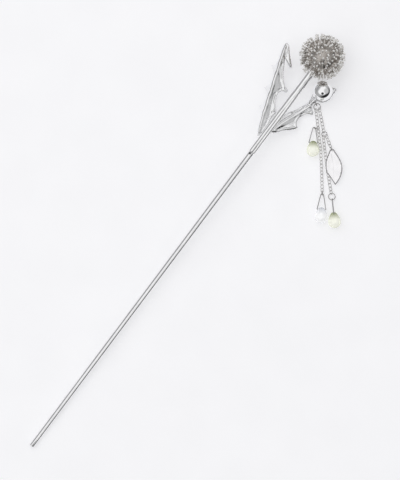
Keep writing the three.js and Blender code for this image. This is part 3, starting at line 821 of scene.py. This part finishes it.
def drop_shape():
    outline = [(0.0, 0.0), (0.02, 0.3), (0.1, 0.6), (0.32, 0.95), (0.9, 1.34), (1.9, 1.86), (2.6, 2.1),
               (3.3, 2.2), (4.0, 2.14), (4.6, 1.92), (5.1, 1.5), (5.45, 0.95), (5.63, 0.5),
               (DROP_LENGTH, 0.0)]
    line = smooth_line([(x, r, 0) for x, r in outline], False, 4)
    profile = [(p.x, max(p.y, 0.0)) for p in line]
    profile[0] = (0.0, 0.0)
    profile[-1] = (DROP_LENGTH, 0.0)
    return moved(lathe(profile, 48), shift(BAIL_LENGTH - DROP_HOLE_FROM_TOP))


def add_drop(number, hook, heading, climb, roll, glass):
    at = DANGLES @ aim(hook, heading, climb, roll)
    bail = f"bail_{number}"
    build("wire_" + bail, *bail_shape(), WIRE, bail, bail, at, [bail])
    name = f"glass_drop_{number}"
    crown_at = TO_FRAME @ at @ Vector((BAIL_LENGTH - 0.2, 0, 0))
    glass = glass_material(f"drop_{number}_glass", *glass, crown_at)
    piece = build(f"glass_{number}", *drop_shape(), glass, name, name, at, [name])
    drill_line = [Vector((BAIL_LENGTH, y, 0)) for y in (-3, 3)]
    cutter_mesh = bpy.data.meshes.new("drill")
    verts, faces = tube(drill_line, DROP_HOLE_RADIUS, 20, rounded=False)
    whole = TO_FRAME @ at
    cutter_mesh.from_pydata([whole @ v for v in verts], [], faces)
    cutter = bpy.data.objects.new("drill", cutter_mesh)
    bpy.context.scene.collection.objects.link(cutter)
    cut = piece.modifiers.new("hole", "BOOLEAN")
    cut.object = cutter
    cut.solver = "EXACT"
    bpy.context.view_layer.update()
    made = bpy.data.meshes.new_from_object(piece.evaluated_get(bpy.context.evaluated_depsgraph_get()))
    piece.modifiers.clear()
    piece.data = made
    made.polygons.foreach_set("use_smooth", [True] * len(made.polygons))
    made.set_sharp_from_angle(angle=math.radians(40))
    bpy.data.objects.remove(cutter)
    return piece


def bezier(a, b, c, d, steps):
    found = []
    for i in range(steps):
        t = i / steps
        s = 1 - t
        found.append(tuple(s ** 3 * a[k] + 3 * s * s * t * b[k] + 3 * s * t * t * c[k] + t ** 3 * d[k]
                           for k in (0, 1)))
    return found


def make_plate(at):
    outline = bezier((-0.75, -0.1), (-0.72, 0.3), (-0.37, 0.67), (0.3, 1.0), 8)
    outline += bezier((0.3, 1.0), (2.2, 2.3), (4.2, 3.7), (6.6, 3.5), 20)
    outline += bezier((6.6, 3.5), (8.6, 3.3), (10.3, 2.6), (11.9, 1.1), 18)
    outline += bezier((11.9, 1.1), (10.4, 0.2), (9.0, -0.7), (7.8, -1.7), 16)
    outline += bezier((7.8, -1.7), (5.6, -2.5), (3.2, -2.3), (1.2, -1.2), 20)
    outline += bezier((1.2, -1.2), (0.2, -1.0), (-0.45, -0.63), (-0.75, -0.1), 8)

    def dished(x, y):
        middle = 0.75 - 0.04 * (x - 4.5)
        return 0.02 * (y - middle) ** 2 - 0.06

    centre_line = [(1.2, 0.1), (4.5, 0.75), (8.5, 0.9), (11.0, 1.0)]
    part = blade(outline, 2, {54}, 0.3, dished, [(centre_line, -0.05, 0.3)], 0.1, 0.12)
    build("polished_leaf_plate", *part, PLATE, "leaf_plate", "leaf_plate", at, ["leaf_plate"])
    rim_line = [Vector((x, y, float(dished(x, y)) + 0.02)) for x, y in outline]
    rim = tube(rim_line, PLATE_RIM_WIRE, 8, closed=True)
    # the rim carries the painted shade along the plate's edge
    build("leaf_plate_rim", *rim, PAINTED_SHADE_RIM, "leaf_plate", "leaf_plate", at)


# ---------------------------------------------------------------- assembly

make_stick()
make_stem()
left = blade(LEFT_OUTLINE, 4, LEFT_SHARP, BLADE_SPACING, left_height, LEFT_RELIEFS,
             BLADE_HALF_THICKNESS, BLADE_EDGE, BLADE_ROLL)
build("leaf_left_cast", *left, LEAF, "pin", "leaf_left", Matrix(), ["leaf_left"])
right = blade(RIGHT_OUTLINE, 4, RIGHT_SHARP, BLADE_SPACING, right_height, RIGHT_RELIEFS,
              BLADE_HALF_THICKNESS, BLADE_EDGE, BLADE_ROLL)
build("leaf_right_cast", *right, LEAF, "pin", "leaf_right", Matrix(), ["leaf_right"])
make_head()
make_bead()

RINGS = DANGLES @ turn(RING_HEADING, "Z")
eyelet_z = float(right_height(np.array(EYELET[0]), np.array(EYELET[1])))
add_ring("leaf_ring", RINGS @ shift(LEAF_RING_RADIUS, 0, eyelet_z) @ turn(90, "X"),
         jump_ring(LEAF_RING_RADIUS))
strand_slope = math.degrees(math.asin((STRAND_RING_Z - CHAIN_Z) / (2 * STRAND_RING_RADIUS)))
add_ring("strand_ring", RINGS @ shift(STRAND_RING_X, 0, STRAND_RING_Z) @ turn(strand_slope, "Y")
         @ shift(STRAND_RING_RADIUS), jump_ring(STRAND_RING_RADIUS))
strand_middle = ahead((0, 0, CHAIN_Z + STRAND_RISE), STRAND_RING_X + STRAND_RING_RADIUS, RING_HEADING)

hooks = [start_on_ring(strand_middle, STRAND_RING_RADIUS, -22, 7)]
for chain, heading in (("chain_a1", 7), ("chain_a2", 6.5), ("chain_a3", 2.5), ("chain_a4", 1.5)):
    hooks.append(add_chain(chain, hooks[-1], heading, 6))
clear_hook = add_upright_ring("drop_ring_2", hooks[-1], 0, DROP_RING_RADIUS)
add_drop(2, clear_hook, -3.5, DROP_CLIMB, 0, CLEAR_GLASS)

side_heading = 7 - 90
side_at = ahead(hooks[0], chain_reach(6) - SIDE_RING_BEFORE_END, 7)
side_middle = ahead(side_at, SIDE_RING[0], side_heading)
add_ring("drop_ring_1", DANGLES @ aim(side_middle, side_heading) @ turn(90, "X"), jump_ring(*SIDE_RING))
add_drop(1, ahead(side_at, 2 * SIDE_RING[0], side_heading), -4, DROP_CLIMB, 0, GREEN_GLASS)

start_b = start_on_ring(strand_middle, STRAND_RING_RADIUS, 42, 11.5)
split_hook = add_chain("chain_b1", start_b, 11.5, 7)
split_middle = add_flat_ring("split_ring", split_hook, 11.5, SPLIT_RING_RADIUS)
start_b2 = start_on_ring(split_middle, SPLIT_RING_RADIUS, -24, 6)
middle_hook = add_chain("chain_b2", start_b2, 6, 4, body="split_ring")
lower_hook = add_chain("chain_b3", middle_hook, 8, 9)
third_hook = add_chain("chain_b4", lower_hook, 10, 4, first=-45.0)
third_middle = add_flat_ring("drop_ring_3", third_hook, 10, STRAND_RING_RADIUS)
add_drop(3, ahead(third_middle, STRAND_RING_RADIUS, 8), 5, DROP_CLIMB, 90, GREEN_GLASS)

branch_start = start_on_ring(split_middle, SPLIT_RING_RADIUS, 50, 20)
plate_ring_hook = add_chain("chain_c", branch_start, 20, 4, climb=11.5)
plate_hook = add_upright_ring("plate_ring", plate_ring_hook, 20, PLATE_RING_RADIUS)
make_plate(DANGLES @ aim((plate_hook.x, plate_hook.y, PLATE_Z), 0))

# ---------------------------------------------------------------- studio

# The tent is dark on one side and dim on the other, and the photographer's patch is overhead.
DARK_SIDE = (-0.15, -0.99, 0.0)
DIM_SIDE = (0.0, 1.0, 0.0)
GREY_SIDE = (0.35, -0.60, 0.72)
PATCH = (-0.45, -0.33, 0.83)

# The camera looks straight down, from far enough to see this many metres of the table.
VIEW_HEIGHT = 0.1697
VIEW_MIDDLE = (0.00414, 0.00968)
VIEW_TURN = -53.41
FOCUS_Z = 0.003
LENS = 200.0
SENSOR = 36.0


def make_floor():
    size, cells = 1.6, 8
    verts, faces = [], []
    for j in range(cells + 1):
        for i in range(cells + 1):
            verts.append((size * (2 * i / cells - 1), size * (2 * j / cells - 1), 0.0))
    for j in range(cells):
        for i in range(cells):
            a = j * (cells + 1) + i
            faces.append((a, a + 1, a + cells + 2, a + cells + 1))
    mesh = bpy.data.meshes.new("studio_floor")
    mesh.from_pydata(verts, [], faces)
    mesh.materials.append(floor_material())
    floor = bpy.data.objects.new("studio_floor", mesh)
    bpy.context.scene.collection.objects.link(floor)


def make_world():
    """A white tent, darker near the horizon, with a dim patch overhead where the camera hangs."""
    world = bpy.data.worlds.new("tent")
    bpy.context.scene.world = world
    world.use_nodes = True
    tree = world.node_tree
    back = tree.nodes["Background"]
    way = tree.nodes.new("ShaderNodeTexCoord").outputs["Generated"]
    parts = tree.nodes.new("ShaderNodeSeparateXYZ")
    link(tree, way, parts.inputs["Vector"])

    def facing(direction, low, high):
        """1 where the sky lies towards a direction, within the given cosines."""
        dot = tree.nodes.new("ShaderNodeVectorMath")
        dot.operation = "DOT_PRODUCT"
        dot.inputs[1].default_value = Vector(direction).normalized()
        link(tree, way, dot.inputs[0])
        fit = tree.nodes.new("ShaderNodeMapRange")
        fit.interpolation_type = "SMOOTHSTEP"
        fit.inputs["From Min"].default_value = low
        fit.inputs["From Max"].default_value = high
        link(tree, dot.outputs["Value"], fit.inputs["Value"])
        return fit.outputs["Result"]

    def blend_of(fac, a, b):
        mix = tree.nodes.new("ShaderNodeMix")
        mix.data_type = "RGBA"
        link(tree, fac, mix.inputs["Factor"])
        for value, socket in ((a, mix.inputs["A"]), (b, mix.inputs["B"])):
            if isinstance(value, tuple):
                socket.default_value = value
            else:
                link(tree, value, socket)
        return mix.outputs["Result"]

    horizon = blend_of(facing(DARK_SIDE, 0.1, 0.8), (0.42, 0.42, 0.425, 1), (0.02, 0.02, 0.02, 1))
    rise = tree.nodes.new("ShaderNodeMapRange")
    rise.interpolation_type = "SMOOTHSTEP"
    rise.inputs["From Min"].default_value = 0.48
    rise.inputs["From Max"].default_value = 0.74
    link(tree, parts.outputs["Z"], rise.inputs["Value"])
    tent = blend_of(rise.outputs["Result"], horizon, (0.94, 0.94, 0.945, 1))
    tent = blend_of(facing(DIM_SIDE, 0.42, 0.8), tent, (0.32, 0.32, 0.325, 1))
    tent = blend_of(facing(GREY_SIDE, 0.80, 0.97), tent, (0.56, 0.56, 0.565, 1))
    tent = blend_of(facing(PATCH, 0.955, 0.985), tent, (0.05, 0.05, 0.05, 1))
    seen = tree.nodes.new("ShaderNodeLightPath").outputs["Is Camera Ray"]
    link(tree, blend_of(seen, tent, (0.93, 0.93, 0.95, 1)), back.inputs["Color"])
    back.inputs["Strength"].default_value = 1.0


def area_light(name, location, target, size, power):
    data = bpy.data.lights.new(name, "AREA")
    data.shape = "RECTANGLE"
    data.size, data.size_y = size
    data.energy = power
    lamp = bpy.data.objects.new(name, data)
    bpy.context.scene.collection.objects.link(lamp)
    lamp.location = location
    lamp.visible_glossy = False
    lamp.rotation_euler = (Vector(target) - Vector(location)).to_track_quat("-Z", "Y").to_euler()
    return lamp


def make_camera():
    data = bpy.data.cameras.new("camera")
    data.type = "PERSP"
    data.sensor_fit = "VERTICAL"
    data.sensor_height = SENSOR
    data.lens = LENS
    data.clip_end = 20.0
    camera = bpy.data.objects.new("camera", data)
    bpy.context.scene.collection.objects.link(camera)
    camera.location = (*VIEW_MIDDLE, VIEW_HEIGHT * LENS / SENSOR + FOCUS_Z)
    camera.rotation_euler = (0, 0, math.radians(VIEW_TURN))
    bpy.context.scene.camera = camera


make_floor()
make_world()
area_light("key", (0.10, 0.70, 0.95), (0.02, 0.0, 0.0), (1.3, 1.3), 4.2)
make_camera()
bpy.context.scene.view_settings.view_transform = "Standard"
